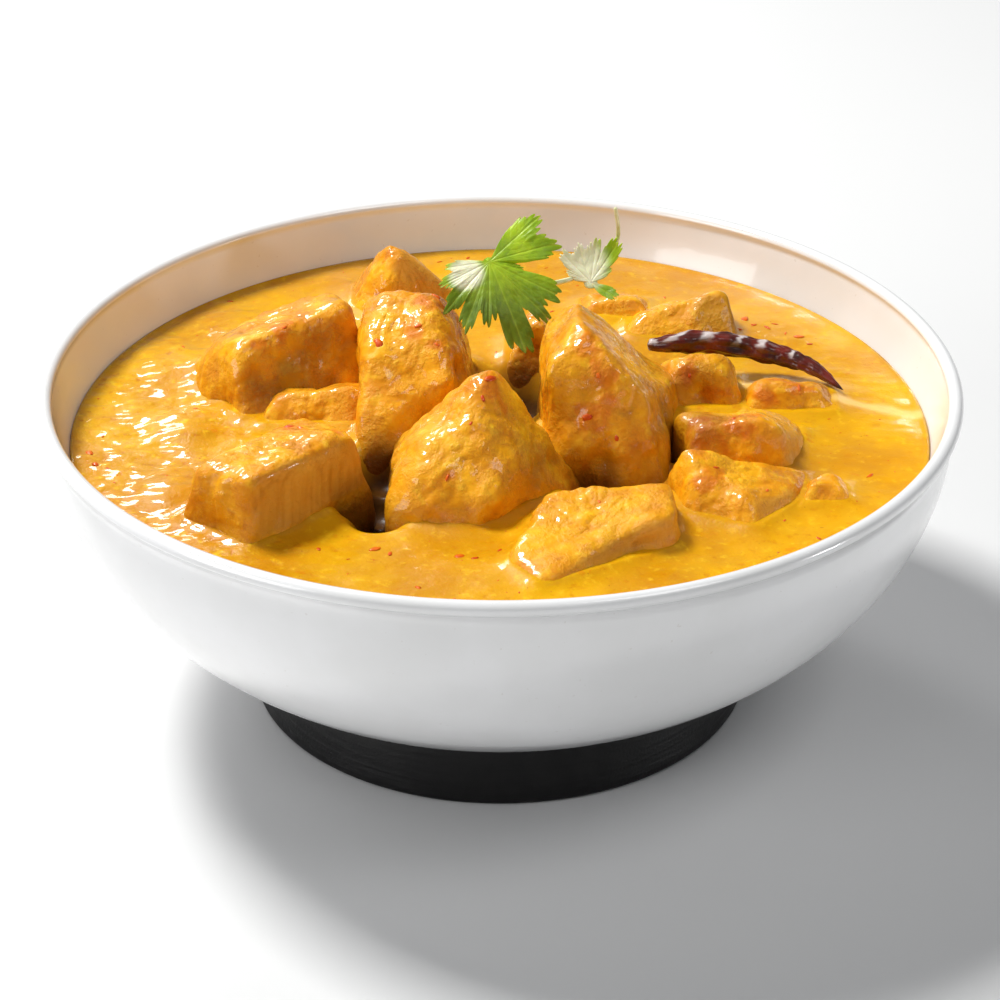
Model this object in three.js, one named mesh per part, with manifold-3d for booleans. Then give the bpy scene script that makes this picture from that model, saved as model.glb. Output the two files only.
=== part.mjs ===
// Chicken curry served in a white footed bowl: a thick yellow sauce fills the bowl almost to its
// lip, sixteen uneven pieces of chicken stand out of the sauce in a low heap, a sprig of
// coriander leans on the heap and one dried red chilli lies across its right side.
// Millimetres, +Z up, the origin on the table under the bowl's middle. -Y is the front.

import * as THREE from 'three';
import { mergeVertices } from 'three/addons/utils/BufferGeometryUtils.js';
import Module from 'manifold-3d';

const wasm = await Module();
wasm.setup();

// ---- driving dimensions ----
const RIM_R = 100;          // the bowl's outer radius, over the lip
const LIP_R = 1.6;          // radius of the rolled lip
const LIP_Z = 74.3;         // height of the lip's middle
const WALL_Z = 70;          // height where the wall is widest
const WALL_DEPTH = 67;      // how far the outer wall would reach below that
const BASE_Z = 4;           // flat underside of the bowl, inside the foot
const INNER_R = 94;         // inner wall's widest radius
const INNER_DEPTH = 61;     // inner wall's depth below WALL_Z
const INNER_FLARE = 2.8;    // extra radius that the inner wall gains towards the lip
const FOOT_R = 56.5;        // the foot's outer radius on the table
const FOOT_TOP_R = 54.5;    // and where it meets the bowl
const FOOT_INNER_R = 48.5;
const FOOT_BEVEL = 1;
const SAUCE_Z = 62.7;       // level of the sauce
const TOUCH_GAP = 0.3;      // clearance between pieces that touch
const TURNS = 34;           // segments round the bowl, the foot and the sauce
const CHICKEN_DETAIL = 2;   // how finely a piece of chicken is faceted

const OUTER_R = RIM_R - LIP_R;

// ---- helpers ----
const rad = THREE.MathUtils.degToRad;

function lathe(points) {
  const profile = points.map(([r, z]) => new THREE.Vector2(r, z));
  return new THREE.LatheGeometry(profile, TURNS).rotateX(Math.PI / 2);
}

// A quarter-ellipse wall, from the widest height down to the angle given, as [radius, height].
function wallArc(radius, depth, from, to, steps) {
  const points = [];
  for (let i = 0; i <= steps; i += 1) {
    const angle = from + (to - from) * i / steps;
    points.push([radius * Math.cos(angle), WALL_Z - depth * Math.sin(angle)]);
  }
  return points;
}

function innerRadius(z) {
  const drop = Math.max(0, (WALL_Z - z) / INNER_DEPTH);
  const flare = Math.max(0, (z - SAUCE_Z) / (LIP_Z - SAUCE_Z));
  return INNER_R * Math.sqrt(1 - drop * drop) + INNER_FLARE * flare;
}

function toSolid(geometry) {
  const bare = geometry.index ? geometry.toNonIndexed() : geometry.clone();
  bare.deleteAttribute('normal');
  bare.deleteAttribute('uv');
  const merged = mergeVertices(bare, 1e-4);
  return new wasm.Manifold(new wasm.Mesh({
    numProp: 3,
    vertProperties: new Float32Array(merged.attributes.position.array),
    triVerts: new Uint32Array(merged.index.array),
  }));
}

function toGeometry(solid) {
  const mesh = solid.getMesh();
  const geometry = new THREE.BufferGeometry();
  geometry.setAttribute('position', new THREE.BufferAttribute(mesh.vertProperties, 3));
  geometry.setIndex(new THREE.BufferAttribute(mesh.triVerts, 1));
  return geometry;
}

// The main body of a solid, without the slivers that a cut can leave beside it.
function mainBody(solid) {
  return solid.decompose().reduce((most, body) => (body.volume() > most.volume() ? body : most));
}

// ---- finishes ----
const finish = (color, roughness) => new THREE.MeshStandardMaterial({ color, roughness, metalness: 0 });

const dish = new THREE.Group();

function put(name, geometry, material) {
  const mesh = new THREE.Mesh(geometry, material);
  mesh.name = name;
  dish.add(mesh);
}

// ---- the bowl: a deep round shell with a rolled lip, on a flat base ----
function bowlGeometry() {
  const baseAngle = Math.asin((WALL_Z - BASE_Z) / WALL_DEPTH);
  const points = [[0, BASE_Z], ...wallArc(OUTER_R, WALL_DEPTH, baseAngle, 0, 9)];
  const lipSteps = 6;
  for (let i = 0; i <= lipSteps; i += 1) {
    const angle = rad(-70 + 250 * i / lipSteps);
    points.push([OUTER_R + LIP_R * Math.cos(angle), LIP_Z + LIP_R * Math.sin(angle)]);
  }
  points.push([innerRadius(WALL_Z), WALL_Z]);
  points.push(...wallArc(INNER_R, INNER_DEPTH, 0.1, Math.PI / 2, 8).slice(0, -1));
  points.push([0, WALL_Z - INNER_DEPTH]);
  return lathe(points);
}
put('bowl', bowlGeometry(), finish(0xf2f0ee, 0.15));

// ---- the foot: a dark ring whose top follows the underside of the bowl ----
function footGeometry() {
  const underBowl = (r) => WALL_Z - WALL_DEPTH * Math.sqrt(1 - (r / OUTER_R) ** 2) - 3 * TOUCH_GAP;
  const middle = (FOOT_INNER_R + FOOT_TOP_R) / 2;
  return lathe([
    [FOOT_INNER_R + FOOT_BEVEL, 0],
    [FOOT_R - FOOT_BEVEL, 0],
    [FOOT_R, FOOT_BEVEL],
    [FOOT_TOP_R, underBowl(FOOT_TOP_R)],
    [middle, underBowl(middle)],
    [FOOT_INNER_R, underBowl(FOOT_INNER_R)],
    [FOOT_INNER_R, FOOT_BEVEL],
    [FOOT_INNER_R + FOOT_BEVEL, 0],
  ]);
}
put('foot', footGeometry(), finish(0x1c1a1b, 0.4));

// ---- chicken pieces ----
// A piece is a rounded block cut by flat faces. Each face is [bearing, tilt, distance]: the compass
// angle of its outward normal from +X, how far that normal tips up from level, and how far the
// face is from the piece's middle. The middle is at x, y and lift above the sauce. A face pulls the
// surface in smoothly: in a direction, the radius is the p-norm blend of the faces' distances,
// and sharp is that p, so a high one gives crisp edges. sink is the depth of the underside.
const chicken = [
  { at: [-46, -37, 2], sharp: 10, sink: 13,
    faces: [[-42, 5, 10.4], [-127, 6, 17.9], [145, 18, 11], [40, 8, 18.4], [110, 82, 11.4]] },
  { at: [-6, -26, 3], sharp: 10, sink: 14,
    faces: [[-100, 10, 22], [-85, 45, 17.4], [-138, 50, 16.8], [172, 46, 14.2], [180, 2, 17.2],
      [-50, 2, 18.4], [-22, 36, 15.2], [40, 20, 16.8], [100, 32, 15.4]] },
  { at: [24, -5, 6], sharp: 22, sink: 16,
    faces: [[-100, 12, 16.5], [-95, 47, 19.8], [180, 3, 14.8], [172, 45, 20.4], [-10, 12, 12],
      [10, 48, 11.4], [80, 30, 20]] },
  { at: [19, -50, 0], sharp: 12, sink: 12,
    faces: [[-145, 26, 20.4], [-60, 20, 13.2], [0, 12, 17.5], [95, 25, 8.9], [161, 22, 12.2],
      [-115, 79, 6.8]] },
  { at: [48, -35, 0], sharp: 10, sink: 12,
    faces: [[-113, 36, 9.7], [-39, 20, 12], [0, 25, 15], [-170, 25, 11], [95, 25, 8],
      [-10, 74, 6.7]] },
  { at: [67, -34, 0], sharp: 8, sink: 6,
    faces: [[-80, 25, 4.5], [0, 30, 4.8], [175, 20, 4.6], [90, 30, 3.5], [70, 75, 4.2]] },
  { at: [52, -15, 0], sharp: 10, sink: 12,
    faces: [[-95, 18, 8.9], [-13, 12, 12.2], [180, 20, 13], [90, 25, 10], [110, 70, 8.8],
      [30, 60, 10.2]] },
  { at: [65, 8, 0], sharp: 7, sink: 8,
    faces: [[-90, 35, 5], [0, 35, 8], [180, 30, 9.5], [90, 30, 7], [80, 75, 5.5]] },
  { at: [44, 12.5, 0], sharp: 7, sink: 10,
    faces: [[-90, 16, 8], [0, 22, 9.5], [180, 26, 9], [90, 38, 7], [-80, 75, 10.5]] },
  { at: [43, 48, 0], sharp: 10, sink: 10,
    faces: [[-100, 46, 6.4], [10, 10, 11.5], [180, 40, 10.5], [90, 30, 7], [130, 66, 6.5]] },
  { at: [27, 57, 0], sharp: 8, sink: 8,
    faces: [[-90, 30, 5], [0, 35, 7], [180, 35, 7], [90, 30, 5], [80, 78, 4]] },
  { at: [-50, 22, 1], sharp: 10, sink: 13,
    faces: [[-62, 27, 15.6], [-152, 12, 16.8], [150, 38, 14.5], [25, 6, 18], [100, 30, 17],
      [150, 74, 13.5]] },
  { at: [-41, 4, 0], sharp: 9, sink: 10,
    faces: [[-88, 38, 6.2], [180, 38, 10], [0, 10, 12], [90, 20, 7], [100, 70, 5.8]] },
  { at: [-21, 13, 4], sharp: 8, sink: 14,
    faces: [[-100, 50, 16.3], [-95, 12, 28], [-45, 3, 18], [180, 2, 10.4], [0, 16, 14.4],
      [90, 20, 14.5], [162, 80, 19.2]] },
  { at: [-25, 62, 0], sharp: 11, sink: 12,
    faces: [[-132, 30, 9.4], [-62, 22, 8.2], [180, 28, 9.7], [8, 46, 11.6], [90, 25, 9], [-80, 70, 15.5]] },
  { at: [8.5, 34, 0], sharp: 8, sink: 10,
    faces: [[-90, 15, 8], [180, 25, 7], [0, 25, 6], [90, 20, 8], [100, 75, 10]] },
];

function chickenGeometry({ at, sharp, sink, faces }, grow = 0) {
  const cuts = [...faces, [0, -90, sink]].map(([bearing, tilt, distance]) => {
    const level = Math.cos(rad(tilt));
    const normal = new THREE.Vector3(
      level * Math.cos(rad(bearing)), level * Math.sin(rad(bearing)), Math.sin(rad(tilt)));
    return { normal, distance: distance + grow };
  });
  const geometry = new THREE.IcosahedronGeometry(1, CHICKEN_DETAIL);
  const position = geometry.attributes.position;
  const ray = new THREE.Vector3();
  for (let i = 0; i < position.count; i += 1) {
    ray.fromBufferAttribute(position, i).normalize();
    const blend = cuts.reduce(
      (sum, { normal, distance }) => sum + Math.max(0, ray.dot(normal) / distance) ** sharp, 0);
    ray.multiplyScalar(blend ** (-1 / sharp));
    position.setXYZ(i, at[0] + ray.x, at[1] + ray.y, SAUCE_Z + at[2] + ray.z);
  }
  return geometry;
}

// Pieces lie against each other: each one gives way to those before it in the list.
const chickenFinish = finish(0xd9951f, 0.35);
const grown = chicken.map((piece) => toSolid(chickenGeometry(piece, TOUCH_GAP)));
chicken.forEach((piece, index) => {
  let solid = toSolid(chickenGeometry(piece));
  for (const neighbour of grown.slice(0, index)) {
    if (solid.intersect(neighbour).volume() > 0) solid = solid.subtract(neighbour);
  }
  const number = String(index + 1).padStart(2, '0');
  put(`chicken_${number}`, toGeometry(mainBody(solid)), chickenFinish.clone());
});

// ---- the sauce: fills the bowl to its level, cut round every piece of chicken ----
function sauceSolid() {
  const surfaceAngle = Math.asin((WALL_Z - SAUCE_Z) / INNER_DEPTH);
  const wall = wallArc(INNER_R - TOUCH_GAP, INNER_DEPTH - TOUCH_GAP, Math.PI / 2, surfaceAngle, 8);
  const points = [[0, WALL_Z - INNER_DEPTH + TOUCH_GAP], ...wall.slice(1, -1)];
  points.push([innerRadius(SAUCE_Z) - TOUCH_GAP, SAUCE_Z], [0, SAUCE_Z]);
  return toSolid(lathe(points));
}
const sauce = grown.reduce((solid, piece) => solid.subtract(piece), sauceSolid());
put('curry', toGeometry(mainBody(sauce)), finish(0xe8ad1e, 0.2));

// ---- carried shapes: a round spindle bent along a curve ----
// radiusAt gives the radius from 0 at the start of the curve to 1 at its end.
function spindle(curve, radiusAt, sides, steps) {
  const profile = [new THREE.Vector2(0, 0)];
  for (let i = 1; i < steps; i += 1) profile.push(new THREE.Vector2(radiusAt(i / steps), i / steps));
  profile.push(new THREE.Vector2(0, 1));
  const geometry = new THREE.LatheGeometry(profile, sides);
  const position = geometry.attributes.position;
  const up = new THREE.Vector3(0, 0, 1);
  for (let i = 0; i < position.count; i += 1) {
    const along = position.getY(i);
    const tangent = curve.getTangent(along);
    const side = new THREE.Vector3().crossVectors(tangent, up).normalize();
    const over = new THREE.Vector3().crossVectors(side, tangent);
    const point = curve.getPoint(along)
      .addScaledVector(side, position.getX(i))
      .addScaledVector(over, position.getZ(i));
    position.setXYZ(i, point.x, point.y, point.z);
  }
  return geometry;
}
const through = (...points) => new THREE.CatmullRomCurve3(points.map((p) => new THREE.Vector3(...p)));

// ---- the dried chilli: a wrinkled pod that narrows to a pointed tip ----
const CHILLI_R = 2.6;
const chilliCurve = through(
  [33, 17.5, SAUCE_Z + 10], [47, 22.5, SAUCE_Z + 8.4], [61, 22.5, SAUCE_Z + 5.8],
  [70, 18, SAUCE_Z + 4.3], [76.6, 11.5, SAUCE_Z + 1.8]);
const chilliRadius = (t) => CHILLI_R * Math.min(1, 3 * t + 0.5) * (1 - t ** 2.2) ** 0.8;
put('dried_chilli', spindle(chilliCurve, chilliRadius, 8, 14), finish(0x4a120f, 0.3));

// ---- coriander: flat leaves with toothed lobes, and the stem that joins them ----
const LEAF_THICK = 0.5;

// A leaf is star-shaped round its hub: in a direction the edge is as far as the longest lobe
// there reaches, and teeth notch it. A lobe is [bearing, length, half-width in degrees], and web
// is the broad part that joins the lobes, given the same way.
function leafGeometry({ lobes, web, hub, facing, lean, curl }) {
  const steps = 72;
  const outline = [];
  for (let i = 0; i < steps; i += 1) {
    const bearing = 360 * i / steps;
    let reach = 2;
    for (const [direction, length, halfWidth] of [web, ...lobes]) {
      const away = Math.abs(((bearing - direction + 540) % 360) - 180) / halfWidth;
      reach = Math.max(reach, away < 1 ? length * Math.sqrt(1 - away * away) : 0);
    }
    const notch = 1 - 0.1 * (i % 2);
    const edge = new THREE.Vector2(Math.cos(rad(bearing)), Math.sin(rad(bearing)));
    outline.push(edge.multiplyScalar(reach * notch));
  }
  const geometry = new THREE.ExtrudeGeometry(
    new THREE.Shape(outline), { depth: LEAF_THICK, bevelEnabled: false, steps: 1 });
  const position = geometry.attributes.position;
  for (let i = 0; i < position.count; i += 1) {
    const [x, y, z] = [position.getX(i), position.getY(i), position.getZ(i)];
    position.setZ(i, z + curl[0] * x * x + curl[1] * y * y);
  }
  geometry.rotateX(rad(90 - lean)).rotateZ(rad(facing)).translate(...hub);
  return geometry;
}

const leafFinish = finish(0x7f9a14, 0.5);
put('coriander_leaf_1', leafGeometry({
  web: [-60, 12.5, 125], hub: [-2.4, 18.1, 92.7], facing: 0, lean: 48, curl: [-0.008, -0.006],
  lobes: [[46, 16.5, 17], [19, 17, 15], [-26, 18.5, 14], [-44, 19, 14], [-68, 23, 14], [-90, 15.5, 14],
    [-109, 17.5, 13], [-130, 15.5, 14], [-152, 12.5, 16], [-172, 10, 16]],
}), leafFinish);
put('coriander_leaf_2', leafGeometry({
  web: [95, 8.5, 80], hub: [20.5, 30, 82.5], facing: 0, lean: 48, curl: [0.012, 0.012],
  lobes: [[56, 12, 18], [82, 10.5, 16], [108, 9.5, 18], [134, 10, 18], [-36, 7.5, 24]],
}), leafFinish.clone());

const STEM_R = 0.55;
const stemCurve = through(
  [2, 21.5, 86], [11, 28, 83], [19.5, 33.5, 83.5], [26.4, 37.6, 89], [26, 36, 98.3]);
const stemRadius = (t) => STEM_R * (1 - 0.45 * t);
put('coriander_stem', spindle(stemCurve, stemRadius, 6, 14), finish(0x9fae4c, 0.45));

export default dish;
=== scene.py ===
"""Chicken curry in a white footed bowl, with a coriander sprig and a dried red chilli.

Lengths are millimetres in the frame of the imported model, and become metres in the meshes.
"""

from math import asin, cos, pi, radians, sin, tan

import bpy
import numpy as np
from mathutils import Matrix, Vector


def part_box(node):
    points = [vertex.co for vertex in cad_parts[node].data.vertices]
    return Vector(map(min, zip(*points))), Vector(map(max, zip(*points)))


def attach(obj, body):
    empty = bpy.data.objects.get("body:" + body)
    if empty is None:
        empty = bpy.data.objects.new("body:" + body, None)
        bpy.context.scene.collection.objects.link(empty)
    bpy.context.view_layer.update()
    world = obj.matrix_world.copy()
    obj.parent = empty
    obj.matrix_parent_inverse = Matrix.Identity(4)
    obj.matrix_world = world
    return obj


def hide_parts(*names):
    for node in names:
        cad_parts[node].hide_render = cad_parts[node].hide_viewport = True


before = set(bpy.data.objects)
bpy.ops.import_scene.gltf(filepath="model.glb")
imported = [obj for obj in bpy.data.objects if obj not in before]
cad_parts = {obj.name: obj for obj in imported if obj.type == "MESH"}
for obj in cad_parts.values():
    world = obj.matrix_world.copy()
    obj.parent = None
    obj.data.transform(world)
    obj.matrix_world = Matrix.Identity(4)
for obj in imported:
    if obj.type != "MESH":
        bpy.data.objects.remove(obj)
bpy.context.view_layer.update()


# ---------------------------------------------------------------------------------------------
# The bowl: thrown stoneware with a deep round wall and a rolled lip, dipped in a clear glossy
# glaze over white. It is one lathe shape, and the glaze pools into a faint unevenness.
# ---------------------------------------------------------------------------------------------

METRE = 0.001                       # metres in a millimetre
rim_low, rim_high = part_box("bowl")
rim_radius = rim_high[0] / METRE
rim_top = rim_high[2] / METRE
lip_radius = 1.6
lip_height = rim_top - lip_radius
wall_height = 70.0                  # where the wall is widest
outer_radius = rim_radius - lip_radius
outer_depth = 67.0                  # from the widest height down to the outer wall's pole
base_height = rim_low[2] / METRE
inner_radius = 94.0
inner_depth = 61.0                  # and to the inner wall's
inner_flare = 2.8                   # how much wider the inner wall is at the lip
sauce_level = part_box("curry")[1][2] / METRE


def grid_triangles(rows, columns, closed_rows=False):
    """Two triangles for each cell of a grid of points whose columns run round.

    The first and last rows each shrink to one pole, or join each other if closed_rows.
    """
    index = np.arange(rows * columns).reshape(rows, columns)
    if closed_rows:
        low, high = index, np.roll(index, -1, axis=0)
    else:
        index[0] = index[0, 0]
        index[-1] = index[-1, 0]
        low, high = index[:-1], index[1:]
    low_next, high_next = np.roll(low, -1, axis=1), np.roll(high, -1, axis=1)
    return np.concatenate([
        np.stack([low, low_next, high_next], axis=-1).reshape(-1, 3),
        np.stack([low, high_next, high], axis=-1).reshape(-1, 3),
    ])


def skin(name, points, closed_rows=False):
    """A smooth closed skin over a grid of points, columns running round."""
    triangles = grid_triangles(*points.shape[:2], closed_rows)
    return mesh_piece(name, points.reshape(-1, 3), triangles)


def mesh_piece(name, points, triangles):
    """An object from points in millimetres and triangles, faces turned outwards.

    Triangles that shrank to a line at a pole are dropped, and so are unused points.
    """
    a, b, c = triangles.T
    triangles = triangles[(a != b) & (b != c) & (c != a)]
    used, triangles = np.unique(triangles, return_inverse=True)
    points, triangles = points[used], triangles.reshape(-1, 3)
    corners = points[triangles]
    volume = np.einsum("ij,ij->", corners[:, 0], np.cross(corners[:, 1], corners[:, 2]))
    if volume < 0:
        triangles = triangles[:, ::-1]
    mesh = bpy.data.meshes.new(name)
    mesh.vertices.add(len(points))
    mesh.vertices.foreach_set("co", (points * METRE).ravel())
    mesh.loops.add(triangles.size)
    mesh.loops.foreach_set("vertex_index", triangles.ravel().astype(np.int32))
    mesh.polygons.add(len(triangles))
    mesh.polygons.foreach_set("loop_start", np.arange(0, triangles.size, 3, dtype=np.int32))
    mesh.polygons.foreach_set("use_smooth", np.ones(len(triangles), dtype=bool))
    mesh.update(calc_edges=True)
    piece = bpy.data.objects.new(name, mesh)
    bpy.context.scene.collection.objects.link(piece)
    return piece


def revolve(profile, turns):
    """The grid of a profile of (radius, height) rows carried round the upright axis."""
    angle = np.linspace(0, 2 * pi, turns, endpoint=False)
    radius, height = np.asarray(profile, dtype=float).T
    x = radius[:, None] * np.cos(angle)
    y = radius[:, None] * np.sin(angle)
    return np.stack([x, y, np.broadcast_to(height[:, None], x.shape)], axis=-1)


def wall_arc(radius, depth, start, stop, steps):
    """Rows down a quarter ellipse, by the angle below the wall's widest height."""
    angle = np.linspace(start, stop, steps)
    return np.stack([radius * np.cos(angle), wall_height - depth * np.sin(angle)], axis=-1)


def inner_wall(height):
    """The inner wall's radius at a height: an ellipse that flares a little above the sauce."""
    drop = np.clip((wall_height - height) / inner_depth, 0, 1)
    flare = np.clip((height - sauce_level) / (lip_height - sauce_level), 0, 1)
    return inner_radius * np.sqrt(1 - drop ** 2) + inner_flare * flare


class Wire:
    """One output of a shader node. Sums, products and powers of wires add Math nodes."""

    def __init__(self, tree, kind, settings=None, inputs=None, output=0):
        node = tree.nodes.new(kind)
        for key, value in (settings or {}).items():
            if key == "stops":
                ramp = node.color_ramp
                while len(ramp.elements) < len(value):
                    ramp.elements.new(0.5)
                for element, (position, colour) in zip(ramp.elements, value):
                    element.position = position
                    element.color = (*colour, 1)
            else:
                setattr(node, key, value)
        for key, value in (inputs or {}).items():
            if isinstance(value, Wire):
                tree.links.new(value.out, node.inputs[key])
            else:
                node.inputs[key].default_value = value
        self.tree = tree
        self.out = node.outputs[output]

    def maths(self, operation, first, second=0.0, clamp=False):
        settings = {"operation": operation, "use_clamp": clamp}
        return Wire(self.tree, "ShaderNodeMath", settings, {0: first, 1: second})

    def __add__(self, other):
        return self.maths("ADD", self, other)

    __radd__ = __add__

    def __mul__(self, other):
        return self.maths("MULTIPLY", self, other)

    __rmul__ = __mul__

    def __sub__(self, other):
        return self.maths("SUBTRACT", self, other)

    def __rsub__(self, other):
        return self.maths("SUBTRACT", other, self)

    def band(self, low, high):
        """0 below low and 1 above high, with a smooth step between."""
        settings = {"interpolation_type": "SMOOTHSTEP"}
        inputs = {"Value": self, "From Min": low, "From Max": high}
        return Wire(self.tree, "ShaderNodeMapRange", settings, inputs)

    def blend(self, first, second):
        """The colour first where this is 0 and second where it is 1."""
        mix = Wire(self.tree, "ShaderNodeMix", {"data_type": "RGBA"},
                   {0: self, 6: colour_of(first), 7: colour_of(second)}, output=2)
        return mix


def colour_of(value):
    """A colour socket's value: a wire as it is, or display red, green and blue made linear."""
    if isinstance(value, Wire):
        return value
    linear = [((c / 255 + 0.055) / 1.055) ** 2.4 if c > 10 else c / 255 / 12.92 for c in value]
    return (*linear, 1.0)


def new_finish(name, **constants):
    """A Principled material: the material, its tree, its shader and its object coordinates."""
    material = bpy.data.materials.new(name)
    material.use_nodes = True
    tree = material.node_tree
    shader = tree.nodes["Principled BSDF"]
    for key, value in constants.items():
        shader.inputs[key.replace("_", " ")].default_value = value
    place = Wire(tree, "ShaderNodeTexCoord", output=3)
    return material, tree, shader, place


def noise(tree, place, size, detail=3.0, rough=0.5, stretch=None):
    """Cloudy noise from 0 to 1, with clouds of a size in millimetres, drawn out by stretch."""
    if stretch:
        place = Wire(tree, "ShaderNodeMapping", None, {"Vector": place, "Scale": stretch})
    inputs = {"Vector": place, "Scale": 1 / (size * METRE), "Detail": detail, "Roughness": rough}
    return Wire(tree, "ShaderNodeTexNoise", None, inputs)


def feed(tree, shader, **wires):
    """Links each named shader socket to its wire."""
    for key, wire in wires.items():
        tree.links.new(wire.out, shader.inputs[key.replace("_", " ")])


def relief(tree, height, depth, under=None):
    """A Bump node: height from 0 to 1 stands depth millimetres proud. Depth may be a wire."""
    if isinstance(depth, Wire):
        height, depth = height * depth, 1
    inputs = {"Height": height, "Distance": depth * METRE, "Strength": 1.0}
    if under:
        inputs["Normal"] = under
    return Wire(tree, "ShaderNodeBump", None, inputs)


def finish_piece(piece, material, slot, *nodes):
    """Gives a piece its material, hangs it from the root, and hides the parts of the frame that
    it stands in for. The slot is not used.
    """
    piece.data.materials.append(material)
    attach(piece, "root")
    if nodes:
        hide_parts(*nodes)


def bowl_profile():
    """From the middle of the base up the outer wall, over the lip and down the inner wall."""
    base_angle = asin((wall_height - base_height) / outer_depth)
    outer = wall_arc(outer_radius, outer_depth, base_angle, 0, 48)
    around = np.radians(np.linspace(-70, 180, 22))
    lip = np.stack([outer_radius + lip_radius * np.cos(around),
                    lip_height + lip_radius * np.sin(around)], axis=-1)
    throat_height = np.linspace(lip_height - 0.5, sauce_level - 1, 12)
    throat = np.stack([inner_wall(throat_height), throat_height], axis=-1)
    throat_angle = asin((wall_height - sauce_level + 1.5) / inner_depth)
    inner = wall_arc(inner_radius, inner_depth, throat_angle, pi / 2 - 0.03, 30)
    floor = [(0, wall_height - inner_depth)]
    return np.concatenate([[(0, base_height)], outer, lip, throat, inner, floor])


bowl = skin("bowl_glazed", revolve(bowl_profile(), 288))

glaze, tree, shader, place = new_finish(
    "white_glaze", Roughness=0.22, Coat_Weight=0.6, Coat_Roughness=0.06, IOR=1.5)
cloud = noise(tree, place, 26, detail=4)
speck = noise(tree, place, 1.1, detail=1).band(0.74, 0.8)
white = cloud.band(0.3, 0.7).blend((230, 230, 230), (237, 237, 238))
feed(tree, shader,
     Base_Color=(0.25 * speck).blend(white, (190, 182, 172)),
     Roughness=0.16 + 0.12 * noise(tree, place, 9),
     Normal=relief(tree, noise(tree, place, 14, detail=1), 0.10))
finish_piece(bowl, glaze, "bowl", "bowl")


# ---------------------------------------------------------------------------------------------
# The foot: a stoneware ring with a dark satin glaze, joined under the white bowl and trimmed to
# a bevel where it stands. Its top follows the bowl's underside.
# ---------------------------------------------------------------------------------------------

foot_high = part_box("foot")[1]
foot_radius = foot_high[0] / METRE
foot_top_radius = foot_radius - 2.0
foot_inner_radius = 48.5
foot_bevel = 1.0
foot_gap = 0.2                      # between the ring's top and the bowl


def foot_profile():
    """A closed ring section: flat on the table, bevelled edges, a top that meets the bowl."""
    top_radius = np.linspace(foot_top_radius, foot_inner_radius, 14)
    under = wall_height - outer_depth * np.sqrt(1 - (top_radius / outer_radius) ** 2)
    under -= foot_gap
    side = np.linspace(0.08, 0.97, 12)
    outer_side = np.stack([foot_radius + (foot_top_radius - foot_radius) * side,
                           foot_bevel + (under[0] - foot_bevel) * side], axis=-1)
    bevel = np.radians(np.linspace(-90, 0, 6))
    outer_bevel = np.stack([foot_radius - foot_bevel + foot_bevel * np.cos(bevel),
                            foot_bevel + foot_bevel * np.sin(bevel)], axis=-1)
    inner_bevel = np.stack([foot_inner_radius + foot_bevel - foot_bevel * np.cos(bevel),
                            foot_bevel + foot_bevel * np.sin(bevel)], axis=-1)[::-1]
    inner_side = np.stack([np.full(8, foot_inner_radius),
                           np.linspace(under[-1] - 0.5, foot_bevel + 0.5, 8)], axis=-1)
    top = np.stack([top_radius, under], axis=-1)
    return np.concatenate([outer_bevel, outer_side, top, inner_side, inner_bevel])


foot = skin("foot_ring", revolve(foot_profile(), 240), closed_rows=True)
dark, tree, shader, place = new_finish("dark_glaze", Specular_IOR_Level=0.3)
turning = noise(tree, place, 1.2, detail=2, stretch=(0.05, 0.05, 1.0))
mottle = noise(tree, place, 7)
feed(tree, shader,
     Base_Color=mottle.band(0.35, 0.7).blend((5, 4, 5), (12, 11, 11)),
     Roughness=0.3 + 0.2 * turning,
     Normal=relief(tree, turning, 0.12, relief(tree, noise(tree, place, 0.6), 0.05)))
finish_piece(foot, dark, "foot", "foot")


# ---------------------------------------------------------------------------------------------
# The chicken: breast cut in uneven blocks, browned, then simmered, so every piece wears a coat
# of sauce that hangs in lumps, with orange stains. Some cut faces are bare and show the grain.
# ---------------------------------------------------------------------------------------------

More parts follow.
